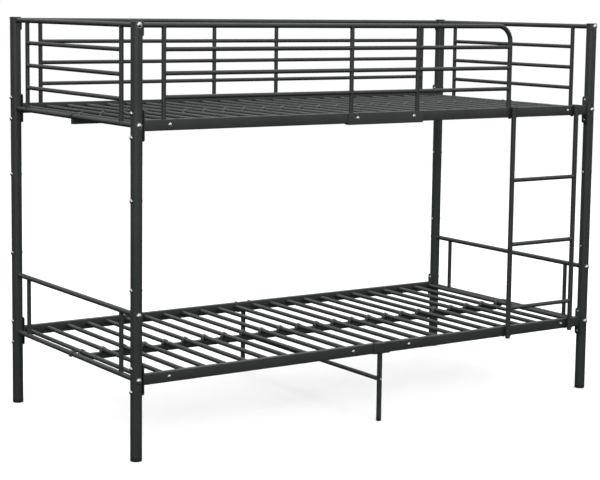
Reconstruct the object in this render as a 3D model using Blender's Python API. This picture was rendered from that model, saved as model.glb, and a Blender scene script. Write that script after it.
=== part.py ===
"""Metal bunk bed with a hook-on ladder, for two 0.9 x 2.0 m mattresses.

Metres, +Z up. The origin is on the floor, midway between the four posts. +X runs along the bed,
the ladder hangs on the front rails at -Y, and the wall side is +Y.
"""
import math

import bmesh
import bpy
from mathutils import Matrix, Vector

# ---- driving dimensions -------------------------------------------------------------------------
POST_SPACING_X = 2.040
POST_SPACING_Y = 0.950
HEIGHT = 1.473
DECK_LOWER = 0.277              # centre of the lower side rails
DECK_UPPER = 1.131              # centre of the upper side rails
GAP = 0.0003                    # clearance between pieces that touch

POST_RADIUS = 0.020
POST_WALL = 0.0015
JOINER_BOTTOM = 0.607           # seams of the middle post section
JOINER_TOP = 0.854
SPIGOT_LENGTH = 0.050
SPIGOT_WALL = 0.002
CAP_THICKNESS = 0.0035
CAP_OVERHANG = 0.0012
CAP_CHAMFER = 0.0013
FOOT_HEIGHT = 0.014
FOOT_ROUNDING = 0.003
PLUG_DEPTH = 0.018

RAIL_HEIGHT = 0.038
RAIL_WIDTH = 0.020
RAIL_WALL = 0.0015
SEAM = 0.0006                   # gap between the two halves of a rail
FLANGE_STEP = 0.001             # how far a channel's front flange stays below the rail's top
BRACKET_THICKNESS = 0.003
BRACKET_WIDTH = 0.030
BRACKET_HEIGHT = 0.106
BRACKET_CORNER = 0.008
STUB_LENGTH = 0.115
LOWER_SLEEVE_LENGTH = 0.300
CHANNEL_LENGTH = 0.340
CHANNEL_WALL = 0.002
CHANNEL_DROP = 0.005            # how far the channel hangs below the rail

END_TUBE_RADIUS = 0.009
END_BARS = 3                    # bars between an upper end panel's cross tubes
UPRIGHT_RADIUS = 0.008
BAR_RADIUS = 0.0075
TOP_RAIL_Z = 1.4605
LOWER_END_TOP_Z = 0.498
END_UPRIGHT_Y = 0.369
GUARD_UPRIGHT_X = 0.918
GUARD_MIDDLE_X = 0.150
GUARD_END_X = 0.596             # the front guard turns down here, beside the ladder
GUARD_BEND = 0.060
GUARD_BEND_STEPS = 6
GUARD_BARS = 3
GUARD_BAR_SPACING = 0.0795
GUARD_TAB_HEIGHT = 0.045
GUARD_TAB_WIDTH = 0.016
GUARD_TAB_RISE = 0.004          # tab's top above the centre of the top tube

SLATS_PER_DECK = 24
SLAT_SPACING = 0.0855
SLAT_RADIUS = 0.008
SLAT_RISE = 0.003               # slat centre above the rail centre
BEAM_WIDTH = 0.020
BEAM_TOP = -0.004               # against the rail centre
BEAM_BOTTOM = -0.0275
HOOK_PLATE = 0.003              # strap that goes over the end tube
BEAM_END_CUT = 0.052            # length of the slope under the end of a lower beam
BEAM_JOINER_LENGTH = 0.110

LEG_RADIUS = 0.0095
LEG_FOOT_HEIGHT = 0.012
LEG_FOOT_ROUNDING = 0.0015
SADDLE_LENGTH = 0.075
SADDLE_TAB = 0.009
SADDLE_TAB_REACH = 0.006        # how far a saddle's tab reaches over the rail
SADDLE_TAB_INSET = 0.001
BRACE_Z = 0.158
BRACE_RADIUS = 0.008

LADDER_LEFT_X = 0.605
LADDER_RIGHT_X = 0.931
LADDER_BOTTOM_Z = 0.256
STILE_RADIUS = 0.0095
RUNG_HEIGHTS = (0.370, 0.620, 0.870)
RUNG_RADIUS = 0.008
STRAP_THICKNESS = 0.003
STRAP_WIDTH = 0.017
STRAP_OFFSET = 0.009            # strap centre beside the stile's centre, clear of the guard
STRAP_DROP = 0.007              # how far the strap's back leg reaches below the rail
LADDER_GAP = 0.0005
WELD_OVERLAP = 0.0008           # how far a stile sinks into the strap it is welded to
STILE_END_DROP = 0.0004         # a stile's top end below the top of its strap

# ---- sizes that follow from them ----------------------------------------------------------------
POST_X = POST_SPACING_X / 2
POST_Y = POST_SPACING_Y / 2
BORE_RADIUS = POST_RADIUS - POST_WALL
PLUG_RADIUS = BORE_RADIUS - GAP
PLATE_OUTER_X = POST_X - POST_RADIUS - GAP
PLATE_INNER_X = PLATE_OUTER_X - BRACKET_THICKNESS
RAIL_TOP = RAIL_HEIGHT / 2
RAIL_FACE = RAIL_WIDTH / 2
STUB_HEIGHT = RAIL_HEIGHT - 2 * (RAIL_WALL + GAP)
STUB_WIDTH = RAIL_WIDTH - 2 * (RAIL_WALL + GAP)
SLAT_END_Y = POST_Y - RAIL_FACE - GAP
UNDER_SLAT = SLAT_RISE - SLAT_RADIUS - FLANGE_STEP    # highest point for what passes below a slat

ROUND = 16                      # sides of posts and caps
TUBE = 12                       # sides of the thinner tubes
SMOOTH_ANGLE = math.radians(40)
FLAT_ANGLE = math.radians(0.5)  # faces that meet at less than this are one flat face
MERGE = 0.00001
CUT_MARGIN = 0.05               # how far a cutter runs past what it cuts

STEEL_FINISH = ((0.035, 0.038, 0.037), 0.45, 0.2)       # colour, roughness, metallic
PLASTIC_FINISH = ((0.012, 0.012, 0.012), 0.55, 0.0)

SIDES_X = (("left", -1), ("right", 1))
SIDES_Y = (("front", -1), ("rear", 1))
DECKS = (("lower", DECK_LOWER), ("upper", DECK_UPPER))


# ---- materials ----------------------------------------------------------------------------------
def material(name, colour, roughness, metallic):
    made = bpy.data.materials.new(name)
    made.use_nodes = True
    shader = made.node_tree.nodes["Principled BSDF"]
    shader.inputs["Base Color"].default_value = (*colour, 1.0)
    shader.inputs["Roughness"].default_value = roughness
    shader.inputs["Metallic"].default_value = metallic
    return made


def steel():
    return bpy.data.materials.get("black_steel") or material("black_steel", *STEEL_FINISH)


def plastic():
    return bpy.data.materials.get("black_plastic") or material("black_plastic", *PLASTIC_FINISH)


# ---- shapes -------------------------------------------------------------------------------------
def place(name, bm, finish):
    """Turns a closed bmesh into a smooth-shaded object of its own."""
    bmesh.ops.recalc_face_normals(bm, faces=bm.faces)
    mesh = bpy.data.meshes.new(name)
    bm.to_mesh(mesh)
    bm.free()
    mesh.shade_smooth()
    mesh.set_sharp_from_angle(angle=SMOOTH_ANGLE)
    mesh.materials.append(finish)
    made = bpy.data.objects.new(name, mesh)
    bpy.context.scene.collection.objects.link(made)
    return made


def rod(start, end, radius, sides=TUBE):
    """A capped cylinder between two points, turned so that one of its facets lies flat on top."""
    start, end = Vector(start), Vector(end)
    run = end - start
    turn = run.to_track_quat("Z", "Y").to_matrix().to_4x4() @ Matrix.Rotation(math.pi / sides, 4, "Z")
    bm = bmesh.new()
    bmesh.ops.create_cone(
        bm, cap_ends=True, segments=sides, radius1=radius, radius2=radius, depth=run.length,
        matrix=Matrix.Translation((start + end) / 2) @ turn,
    )
    return bm


def box(low, high):
    """A box between two opposite corners."""
    low, high = Vector(low), Vector(high)
    bm = bmesh.new()
    bmesh.ops.create_cube(bm, size=1.0)
    size = high - low
    bmesh.ops.scale(bm, vec=[abs(s) for s in size], verts=bm.verts)
    bmesh.ops.translate(bm, vec=(low + high) / 2, verts=bm.verts)
    return bm


def extruded(outline, axis, low, high):
    """A flat outline pushed along X or Y. Its points are (Y, Z) for X, and (X, Z) for Y."""
    bm = bmesh.new()
    if axis == "X":
        ring = [bm.verts.new((low, a, b)) for a, b in outline]
    else:
        ring = [bm.verts.new((a, low, b)) for a, b in outline]
    face = bm.faces.new(ring)
    pushed = bmesh.ops.extrude_face_region(bm, geom=[face])
    moved = [v for v in pushed["geom"] if isinstance(v, bmesh.types.BMVert)]
    run = Vector((high - low, 0, 0)) if axis == "X" else Vector((0, high - low, 0))
    bmesh.ops.translate(bm, vec=run, verts=moved)
    bmesh.ops.triangulate(bm, faces=[f for f in bm.faces if len(f.verts) > 4])
    return bm


def rounded_plate(low, high, corner):
    """A plate whose outline in YZ has bevelled corners."""
    bm = box(low, high)
    along_x = [e for e in bm.edges if abs(e.verts[0].co.x - e.verts[1].co.x) > 1e-6]
    bmesh.ops.bevel(bm, geom=along_x, offset=corner, segments=2, profile=0.5, affect="EDGES")
    return bm


def turned(profile, centre, sides=ROUND):
    """A solid of revolution about Z from (radius, height) points; the outline closes on itself."""
    bm = bmesh.new()
    ring = [bm.verts.new((radius, 0.0, height)) for radius, height in profile]
    edges = [bm.edges.new((a, b)) for a, b in zip(ring, ring[1:] + ring[:1])]
    bmesh.ops.spin(bm, geom=ring + edges, cent=(0, 0, 0), axis=(0, 0, 1), angle=2 * math.pi, steps=sides)
    bmesh.ops.remove_doubles(bm, verts=bm.verts, dist=MERGE)
    bmesh.ops.dissolve_degenerate(bm, edges=bm.edges, dist=MERGE)
    bmesh.ops.translate(bm, vec=(centre[0], centre[1], 0.0), verts=bm.verts)
    return bm


def bent_tube(points, radius, sides=TUBE):
    """A tube swept along a path in a plane of constant Y."""
    bm = bmesh.new()
    rings = []
    for i, point in enumerate(points):
        before, after = points[max(i - 1, 0)], points[min(i + 1, len(points) - 1)]
        along = (Vector(after) - Vector(before)).normalized()
        outward = along.cross(Vector((0, 1, 0)))
        ring = []
        for k in range(sides):
            angle = 2 * math.pi * (k + 0.5) / sides
            offset = outward * math.cos(angle) + Vector((0, 1, 0)) * math.sin(angle)
            ring.append(bm.verts.new(Vector(point) + offset * radius))
        rings.append(ring)
    for first, second in zip(rings, rings[1:]):
        for k in range(sides):
            bm.faces.new((first[k], first[(k + 1) % sides], second[(k + 1) % sides], second[k]))
    bm.faces.new(rings[0])
    bm.faces.new(rings[-1])
    return bm


def fuse(name, parts, finish, cuts=()):
    """Joins overlapping solids into one, then takes the cuts away."""
    base = place(name, parts[0], finish)
    tools = []
    for operation, shapes in (("UNION", parts[1:]), ("DIFFERENCE", cuts)):
        for shape in shapes:
            tool = place(f"{name}_tool", shape, finish)
            tool.hide_render = True
            tool.display_type = "WIRE"
            step = base.modifiers.new(operation.lower(), "BOOLEAN")
            step.operation = operation
            step.solver = "EXACT"
            step.object = tool
            tools.append(tool)
    shaped = bpy.data.meshes.new_from_object(base.evaluated_get(bpy.context.evaluated_depsgraph_get()))
    base.modifiers.clear()
    base.data = shaped
    for tool in tools:
        bpy.data.objects.remove(tool)
    bm = bmesh.new()
    bm.from_mesh(shaped)
    bmesh.ops.remove_doubles(bm, verts=bm.verts, dist=2 * MERGE)
    bmesh.ops.dissolve_degenerate(bm, edges=bm.edges, dist=2 * MERGE)
    bmesh.ops.dissolve_limit(bm, angle_limit=FLAT_ANGLE, verts=bm.verts, edges=bm.edges)
    bmesh.ops.triangulate(bm, faces=[f for f in bm.faces if len(f.verts) > 4])
    bm.to_mesh(shaped)
    bm.free()
    shaped.shade_smooth()
    shaped.set_sharp_from_angle(angle=SMOOTH_ANGLE)
    return base


def post_cutter(x, y, low, high):
    """The room that a post needs where a tube butts against it, with its facets in line with the post's."""
    radius = POST_RADIUS + GAP
    return turned([(0, low), (radius, low), (radius, high), (0, high)], (x, y))


# ---- posts --------------------------------------------------------------------------------------
def make_post(corner, x, y):
    """One corner: lower tube, middle joining tube, upper tube, top cap and foot cap."""
    tube_bottom = FOOT_HEIGHT + GAP
    tube_top = HEIGHT - CAP_THICKNESS - GAP
    for name, low, high in (
        ("post_lower", tube_bottom, JOINER_BOTTOM - GAP),
        ("post_upper", JOINER_TOP + GAP, tube_top),
    ):
        wall = [(BORE_RADIUS, low), (POST_RADIUS, low), (POST_RADIUS, high), (BORE_RADIUS, high)]
        place(f"{name}_{corner}", turned(wall, (x, y)), steel())

    bore = PLUG_RADIUS - SPIGOT_WALL
    low, high = JOINER_BOTTOM - SPIGOT_LENGTH, JOINER_TOP + SPIGOT_LENGTH
    joiner = [
        (bore, low), (PLUG_RADIUS, low), (PLUG_RADIUS, JOINER_BOTTOM), (POST_RADIUS, JOINER_BOTTOM),
        (POST_RADIUS, JOINER_TOP), (PLUG_RADIUS, JOINER_TOP), (PLUG_RADIUS, high), (bore, high),
    ]
    place(f"post_joiner_{corner}", turned(joiner, (x, y)), steel())

    cap_edge = POST_RADIUS + CAP_OVERHANG
    under = HEIGHT - CAP_THICKNESS
    cap = [
        (0, under - PLUG_DEPTH), (PLUG_RADIUS, under - PLUG_DEPTH), (PLUG_RADIUS, under),
        (cap_edge, under), (cap_edge, HEIGHT - CAP_CHAMFER), (cap_edge - CAP_CHAMFER, HEIGHT), (0, HEIGHT),
    ]
    place(f"post_cap_{corner}", turned(cap, (x, y)), plastic())

    foot = [
        (0, 0), (POST_RADIUS - FOOT_ROUNDING, 0), (POST_RADIUS, FOOT_ROUNDING),
        (POST_RADIUS, FOOT_HEIGHT), (PLUG_RADIUS, FOOT_HEIGHT),
        (PLUG_RADIUS, FOOT_HEIGHT + PLUG_DEPTH), (0, FOOT_HEIGHT + PLUG_DEPTH),
    ]
    place(f"foot_cap_{corner}", turned(foot, (x, y)), plastic())


# ---- end panels ---------------------------------------------------------------------------------
def make_end_panel(level, side, sign, bottom, top, bars):
    """A welded end frame: two cross tubes coped to the posts, two uprights and any bars between."""
    x = sign * POST_X
    reach = POST_Y - POST_RADIUS / 2
    parts = [
        rod((x, -reach, bottom), (x, reach, bottom), END_TUBE_RADIUS),
        rod((x, -reach, top), (x, reach, top), END_TUBE_RADIUS),
    ]
    for y in (-END_UPRIGHT_Y, END_UPRIGHT_Y):
        parts.append(rod((x, y, bottom), (x, y, top), UPRIGHT_RADIUS))
    for i in range(bars):
        z = top + (bottom - top) * (i + 1) / (bars + 1)
        parts.append(rod((x, -END_UPRIGHT_Y, z), (x, END_UPRIGHT_Y, z), BAR_RADIUS))
    cuts = [post_cutter(x, y, bottom - CUT_MARGIN, top + CUT_MARGIN) for y in (-POST_Y, POST_Y)]
    fuse(f"end_panel_{level}_{side}", parts, steel(), cuts)


# ---- side rails ---------------------------------------------------------------------------------
def make_rail(level, deck, face, sign_y, side, sign_x):
    """Half a side rail, a hollow rectangular tube, and the bracket that holds it to its post."""
    y = sign_y * POST_Y
    near, far = sign_x * SEAM / 2, sign_x * (PLATE_INNER_X - GAP)
    inside_y, inside_z = RAIL_FACE - RAIL_WALL, RAIL_TOP - RAIL_WALL
    outer = box((near, y - RAIL_FACE, deck - RAIL_TOP), (far, y + RAIL_FACE, deck + RAIL_TOP))
    bore = box((near - CUT_MARGIN * sign_x, y - inside_y, deck - inside_z),
               (far + CUT_MARGIN * sign_x, y + inside_y, deck + inside_z))
    fuse(f"side_rail_{level}_{face}_{side}", [outer], steel(), [bore])

    plate = rounded_plate(
        (sign_x * PLATE_INNER_X, y - BRACKET_WIDTH / 2, deck - BRACKET_HEIGHT / 2),
        (sign_x * PLATE_OUTER_X, y + BRACKET_WIDTH / 2, deck + BRACKET_HEIGHT / 2),
        BRACKET_CORNER,
    )
    stub = box(
        (sign_x * (PLATE_INNER_X - STUB_LENGTH), y - STUB_WIDTH / 2, deck - STUB_HEIGHT / 2),
        (sign_x * (PLATE_INNER_X + BRACKET_THICKNESS / 2), y + STUB_WIDTH / 2, deck + STUB_HEIGHT / 2),
    )
    fuse(f"rail_bracket_{level}_{face}_{side}", [plate, stub], steel())


def channel(length, deck, y, sign_y, drop):
    """A J-shaped channel under a rail: a full front flange, a web, and a low back flange."""
    inner = RAIL_FACE + GAP
    outer = inner + CHANNEL_WALL
    bottom = deck - RAIL_TOP - drop
    web_top = bottom + CHANNEL_WALL
    front_top = deck + RAIL_TOP - FLANGE_STEP
    outline = [
        (outer, front_top), (outer, bottom), (-outer, bottom), (-outer, deck + UNDER_SLAT),
        (-inner, deck + UNDER_SLAT), (-inner, web_top), (inner, web_top), (inner, front_top),
    ]
    placed = [(y + sign_y * across, z) for across, z in outline]
    return extruded(placed, "X", -length / 2, length / 2)


def make_upper_joiner(face, sign_y):
    """The channel under the middle of an upper side rail, where its halves meet."""
    joiner = channel(CHANNEL_LENGTH, DECK_UPPER, sign_y * POST_Y, sign_y, CHANNEL_DROP)
    place(f"rail_joiner_upper_{face}", joiner, steel())


def make_lower_joiner(face, sign_y):
    """The sleeve inside the middle of a lower side rail."""
    half = LOWER_SLEEVE_LENGTH / 2
    y = sign_y * POST_Y
    sleeve = box((-half, y - STUB_WIDTH / 2, DECK_LOWER - STUB_HEIGHT / 2),
                 (half, y + STUB_WIDTH / 2, DECK_LOWER + STUB_HEIGHT / 2))
    place(f"rail_joiner_lower_{face}", sleeve, steel())


# ---- centre support -----------------------------------------------------------------------------
def make_centre_leg(face, sign_y):
    """A leg welded under a saddle that wraps the middle of a lower rail, and its foot."""
    y = sign_y * POST_Y
    drop = CHANNEL_WALL + GAP
    parts = [channel(SADDLE_LENGTH, DECK_LOWER, y, sign_y, drop)]
    outer = RAIL_FACE + GAP + CHANNEL_WALL / 2
    inner = RAIL_FACE - SADDLE_TAB_REACH
    under = DECK_LOWER + RAIL_TOP + GAP
    tab = [
        (outer, DECK_LOWER + RAIL_TOP - SADDLE_TAB_REACH), (outer, under + CHANNEL_WALL),
        (inner, under + CHANNEL_WALL), (inner, under), (RAIL_FACE + GAP * 2, under),
        (RAIL_FACE + GAP * 2, DECK_LOWER + RAIL_TOP - SADDLE_TAB_REACH),
    ]
    placed = [(y + sign_y * across, z) for across, z in tab]
    first_tab = -SADDLE_LENGTH / 2 + SADDLE_TAB_INSET
    for x in (first_tab, -first_tab - SADDLE_TAB):
        parts.append(extruded(placed, "X", x, x + SADDLE_TAB))
    saddle_bottom = DECK_LOWER - RAIL_TOP - drop
    foot_top = LEG_FOOT_HEIGHT + GAP
    parts.append(rod((0, y, foot_top), (0, y, saddle_bottom + CHANNEL_WALL / 2), LEG_RADIUS))
    fuse(f"centre_leg_{face}", parts, steel())

    foot = [
        (0, 0), (LEG_RADIUS - LEG_FOOT_ROUNDING, 0), (LEG_RADIUS, LEG_FOOT_ROUNDING),
        (LEG_RADIUS, LEG_FOOT_HEIGHT), (0, LEG_FOOT_HEIGHT),
    ]
    place(f"centre_foot_{face}", turned(foot, (0, y), TUBE), plastic())


def make_brace():
    """The cross tube between the two centre legs, coped to them."""
    reach = POST_Y - LEG_RADIUS / 2
    low, high = BRACE_Z - CUT_MARGIN, BRACE_Z + CUT_MARGIN
    cuts = [rod((0, y, low), (0, y, high), LEG_RADIUS + GAP) for y in (-POST_Y, POST_Y)]
    fuse("centre_brace", [rod((0, -reach, BRACE_Z), (0, reach, BRACE_Z), BRACE_RADIUS)], steel(), cuts)


# ---- slats and centre beam ----------------------------------------------------------------------
def around_end_tube(deck, radius, first, last):
    """Points round the end tube, x outwards. Corner 0 is just above its outer side, 5 above its inner."""
    step = 1 if last > first else -1
    points = []
    for i in range(first, last + step, step):
        angle = math.tau * (i + 0.5) / TUBE
        points.append((POST_X + radius * math.cos(angle), deck + radius * math.sin(angle)))
    return points


def beam_outline(level, deck):
    """Side view of half a centre beam with the strap at its end, x outwards.

    The upper beam reaches under the end tube and its strap ends on the tube's outer side. The lower
    beam slopes away under the tube and its strap hangs down the outer side.
    """
    low, high = deck + BEAM_BOTTOM, deck + BEAM_TOP
    bore = END_TUBE_RADIUS + GAP
    strap = bore + HOOK_PLATE
    if level == "upper":
        under_flat = deck - bore * math.cos(math.pi / TUBE)
        mouth = [(POST_X, low), (POST_X, under_flat)] + around_end_tube(deck, bore, 8, 0)
        over = around_end_tube(deck, strap, 0, 5)
    else:
        tip = deck - END_TUBE_RADIUS
        mouth = [(POST_X - BEAM_END_CUT, low), (POST_X - bore, tip)] + around_end_tube(deck, bore, 5, 0)
        over = [(POST_X + bore, tip), (POST_X + strap, tip)] + around_end_tube(deck, strap, 0, 5)
    return [(SEAM / 2, low)] + mouth + over + [(POST_X - strap, high), (SEAM / 2, high)]


def make_slat_grid(level, deck, side, sign):
    """Half a deck: twelve slats across, on half the centre beam, which hangs on the end panel."""
    slat_z = deck + SLAT_RISE
    half = BEAM_WIDTH / 2
    placed = [(sign * x, z) for x, z in beam_outline(level, deck)]
    parts = [extruded(placed, "Y", -half, half)]
    for i in range(SLATS_PER_DECK // 2):
        x = sign * SLAT_SPACING * (i + 0.5)
        parts.append(rod((x, -SLAT_END_Y, slat_z), (x, SLAT_END_Y, slat_z), SLAT_RADIUS))
    fuse(f"slat_grid_{level}_{side}", parts, steel())


def make_beam_joiner(level, deck):
    """A channel wrapped under the two halves of the centre beam."""
    inner = BEAM_WIDTH / 2 + GAP
    outer = inner + CHANNEL_WALL
    web_top = deck + BEAM_BOTTOM - GAP
    bottom, top = web_top - CHANNEL_WALL, deck + UNDER_SLAT
    outline = [
        (-outer, top), (-outer, bottom), (outer, bottom), (outer, top),
        (inner, top), (inner, web_top), (-inner, web_top), (-inner, top),
    ]
    wrapped = extruded(outline, "X", -BEAM_JOINER_LENGTH / 2, BEAM_JOINER_LENGTH / 2)
    place(f"beam_joiner_{level}", wrapped, steel())


# ---- guards -------------------------------------------------------------------------------------
def end_tab(sign_x, y):
    """The tab at the end of a guard's top tube, which is screwed to the post."""
    low = TOP_RAIL_Z + END_TUBE_RADIUS - GUARD_TAB_HEIGHT
    return box((sign_x * PLATE_INNER_X, y - GUARD_TAB_WIDTH / 2, low),
               (sign_x * PLATE_OUTER_X, y + GUARD_TAB_WIDTH / 2, TOP_RAIL_Z + GUARD_TAB_RISE))


def guard_bars(y, left, right):
    """The bars below a guard's top tube."""
    heights = [TOP_RAIL_Z - GUARD_BAR_SPACING * (i + 1) for i in range(GUARD_BARS)]
    return [rod((left, y, z), (right, y, z), BAR_RADIUS) for z in heights]


def guard_uprights(y, places):
    """The uprights that stand on the upper side rail."""
    foot = DECK_UPPER + RAIL_TOP + GAP
    return [rod((x, y, foot), (x, y, TOP_RAIL_Z), UPRIGHT_RADIUS) for x in places]


def make_front_guard():
    """The front guard stops short of the right post, and its top tube bends down to the rail."""
    y = -POST_Y
    centre_x, centre_z = GUARD_END_X - GUARD_BEND, TOP_RAIL_Z - GUARD_BEND
    path = [(-(PLATE_INNER_X + BRACKET_THICKNESS / 2), y, TOP_RAIL_Z)]
    for i in range(GUARD_BEND_STEPS + 1):
        angle = math.pi / 2 * (1 - i / GUARD_BEND_STEPS)
        path.append((centre_x + GUARD_BEND * math.cos(angle), y, centre_z + GUARD_BEND * math.sin(angle)))
    path.append((GUARD_END_X, y, DECK_UPPER + RAIL_TOP + GAP))
    parts = [bent_tube(path, END_TUBE_RADIUS), end_tab(-1, y)]
    parts += guard_uprights(y, (-GUARD_UPRIGHT_X, -GUARD_MIDDLE_X, GUARD_MIDDLE_X))
    parts += guard_bars(y, -GUARD_UPRIGHT_X, GUARD_END_X)
    fuse("guard_front", parts, steel())


def make_rear_guard():
    """The rear guard runs from post to post."""
    y = POST_Y
    reach = PLATE_INNER_X + BRACKET_THICKNESS / 2
    top_tube = rod((-reach, y, TOP_RAIL_Z), (reach, y, TOP_RAIL_Z), END_TUBE_RADIUS)
    parts = [top_tube, end_tab(-1, y), end_tab(1, y)]
    parts += guard_uprights(y, (-GUARD_UPRIGHT_X, -GUARD_MIDDLE_X, GUARD_MIDDLE_X, GUARD_UPRIGHT_X))
    parts += guard_bars(y, -GUARD_UPRIGHT_X, GUARD_UPRIGHT_X)
    fuse("guard_rear", parts, steel())


# ---- ladder -------------------------------------------------------------------------------------
def ladder_strap(x, deck, stile_y):
    """An upside-down U of flat strap that hangs over a rail and is welded behind a stile."""
    low_x, high_x = x - STRAP_WIDTH / 2, x + STRAP_WIDTH / 2
    front_inner = -POST_Y - RAIL_FACE - LADDER_GAP
    back_inner = -POST_Y + RAIL_FACE + LADDER_GAP
    back_outer = back_inner + STRAP_THICKNESS
    under = deck + RAIL_TOP + GAP
    top = under + STRAP_THICKNESS
    front_low, back_low = deck - RAIL_TOP, deck - RAIL_TOP - STRAP_DROP
    outline = [
        (front_inner, front_low), (front_inner, under), (back_inner, under), (back_inner, back_low),
        (back_outer, back_low), (back_outer, top), (stile_y, top), (stile_y, front_low),
    ]
    return extruded(outline, "X", low_x, high_x)


def make_ladder():
    """Two stiles, three rungs and four hooks, welded into one piece that lifts off upward."""
    y = -POST_Y - RAIL_FACE - LADDER_GAP - STRAP_THICKNESS - STILE_RADIUS + WELD_OVERLAP
    top = DECK_UPPER + RAIL_TOP + GAP + STRAP_THICKNESS
    parts = []
    for x in (LADDER_LEFT_X, LADDER_RIGHT_X):
        parts.append(rod((x, y, LADDER_BOTTOM_Z), (x, y, top - STILE_END_DROP), STILE_RADIUS))
    for z in RUNG_HEIGHTS:
        parts.append(rod((LADDER_LEFT_X, y, z), (LADDER_RIGHT_X, y, z), RUNG_RADIUS))
    for x in (LADDER_LEFT_X, LADDER_RIGHT_X):
        for _, deck in DECKS:
            parts.append(ladder_strap(x + STRAP_OFFSET, deck, y))
    fuse("ladder", parts, steel())


# ---- the bed ------------------------------------------------------------------------------------
def main():
    for old in list(bpy.data.objects):
        bpy.data.objects.remove(old)
    for face, sign_y in SIDES_Y:
        for side, sign_x in SIDES_X:
            make_post(f"{face}_{side}", sign_x * POST_X, sign_y * POST_Y)
            for level, deck in DECKS:
                make_rail(level, deck, face, sign_y, side, sign_x)
        make_upper_joiner(face, sign_y)
        make_lower_joiner(face, sign_y)
        make_centre_leg(face, sign_y)
    for side, sign_x in SIDES_X:
        make_end_panel("upper", side, sign_x, DECK_UPPER, TOP_RAIL_Z, END_BARS)
        make_end_panel("lower", side, sign_x, DECK_LOWER, LOWER_END_TOP_Z, 0)
        for level, deck in DECKS:
            make_slat_grid(level, deck, side, sign_x)
    for level, deck in DECKS:
        make_beam_joiner(level, deck)
    make_brace()
    make_front_guard()
    make_rear_guard()
    make_ladder()


main()
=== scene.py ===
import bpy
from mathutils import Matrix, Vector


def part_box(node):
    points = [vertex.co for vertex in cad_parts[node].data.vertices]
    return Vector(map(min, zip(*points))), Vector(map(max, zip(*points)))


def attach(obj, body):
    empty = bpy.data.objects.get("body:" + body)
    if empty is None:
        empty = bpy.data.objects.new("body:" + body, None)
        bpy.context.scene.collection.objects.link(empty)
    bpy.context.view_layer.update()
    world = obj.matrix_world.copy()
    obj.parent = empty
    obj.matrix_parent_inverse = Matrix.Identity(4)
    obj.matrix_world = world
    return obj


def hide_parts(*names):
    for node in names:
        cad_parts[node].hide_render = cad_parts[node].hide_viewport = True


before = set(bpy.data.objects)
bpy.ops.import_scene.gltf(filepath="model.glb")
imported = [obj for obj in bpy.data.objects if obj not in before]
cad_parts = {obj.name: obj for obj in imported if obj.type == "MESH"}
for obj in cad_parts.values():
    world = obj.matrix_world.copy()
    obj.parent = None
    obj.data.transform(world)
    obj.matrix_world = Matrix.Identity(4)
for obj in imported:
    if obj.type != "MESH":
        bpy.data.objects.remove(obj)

"""Looks for the bunk bed: every visible tube, plate and fastener as a finished mesh around the CAD frame.

Metres, +Z up, the frame's own axes: +X along the bed, the ladder on the front at -Y. Places come from
the CAD nodes' boxes and the sizes below. Each welded piece is one mesh, with its weld beads part of it.
"""
import math

import bmesh
import bpy
from mathutils import Matrix, Vector, noise

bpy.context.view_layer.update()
BED = "bed_frame"
LADDER = "ladder"
CORNERS = [(f"{face}_{side}", sx, sy) for face, sy in (("front", -1), ("rear", 1))
           for side, sx in (("left", -1), ("right", 1))]
SIDES_X = (("left", -1), ("right", 1))
SIDES_Y = (("front", -1), ("rear", 1))

X, Y, Z = Vector((1, 0, 0)), Vector((0, 1, 0)), Vector((0, 0, 1))


# ---- sizes read from the frame ------------------------------------------------------------------
post_low, post_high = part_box("post_lower_front_right")
rail_low, rail_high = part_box("side_rail_upper_front_right")
lower_low, lower_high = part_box("side_rail_lower_front_right")
ladder_low, ladder_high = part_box("ladder")

POST_X = (post_low.x + post_high.x) / 2
POST_Y = -(post_low.y + post_high.y) / 2
POST_RADIUS = (post_high.x - post_low.x) / 2
JOINER_BOTTOM = post_high.z
JOINER_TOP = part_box("post_upper_front_right")[0].z
DECKS = {"lower": (lower_low.z + lower_high.z) / 2, "upper": (rail_low.z + rail_high.z) / 2}
RAIL_HEIGHT = rail_high.z - rail_low.z
RAIL_WIDTH = rail_high.y - rail_low.y
RAIL_FACE = RAIL_WIDTH / 2
RAIL_TOP = RAIL_HEIGHT / 2
PLATE_OUTER_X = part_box("rail_bracket_upper_front_right")[1].x

# ---- sizes of the tubes and sheet, as in the frame ----------------------------------------------
POST_WALL = 0.0015
END_TUBE_RADIUS = 0.009
GUARD_END_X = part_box("guard_front")[1].x - END_TUBE_RADIUS
UPRIGHT_RADIUS = 0.008
BAR_RADIUS = 0.0075
SLAT_RADIUS = 0.008
SLAT_RISE = 0.003
SLAT_SPACING = 0.0855
SLATS_PER_HALF = 12
BEAM_HALF_WIDTH = 0.010
BEAM_TOP = -0.0055
BEAM_BOTTOM = -0.0275
BEAM_END_CUT = 0.052
HOOK_PLATE = 0.0028
RAIL_CORNER = 0.0025
RAIL_WALL = 0.0015
RAIL_BOLT_X = (-0.898, -0.128, 0.128, 0.898)
PLATE_BOLT_RISE = 0.040
JOINER_BOLT_ABOVE = 0.027
JOINER_BOLT_BELOW = 0.025
PLATE_THICKNESS = 0.003
END_UPRIGHT_Y = 0.369
GUARD_UPRIGHTS = (-0.918, -0.150, 0.150, 0.918)
GUARD_BEND = 0.060
GUARD_BAR_SPACING = 0.0795
TOP_RAIL_Z = 1.4605
LOWER_END_TOP_Z = 0.498
LADDER_X = (0.605, 0.931)
RUNG_HEIGHTS = (0.370, 0.620, 0.870)
STILE_RADIUS = 0.0095
RUNG_RADIUS = 0.008
STRAP_WIDTH = 0.017
STRAP_OFFSET = 0.009
STRAP_THICKNESS = 0.003
LEG_RADIUS = 0.0095
BRACE_Z = 0.158
BRACE_RADIUS = 0.008
SHEET = 0.002
CLEAR = 0.0003

TUBE_SIDES = 32
POST_SIDES = 64
SMOOTH_ANGLE = math.radians(35)


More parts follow.
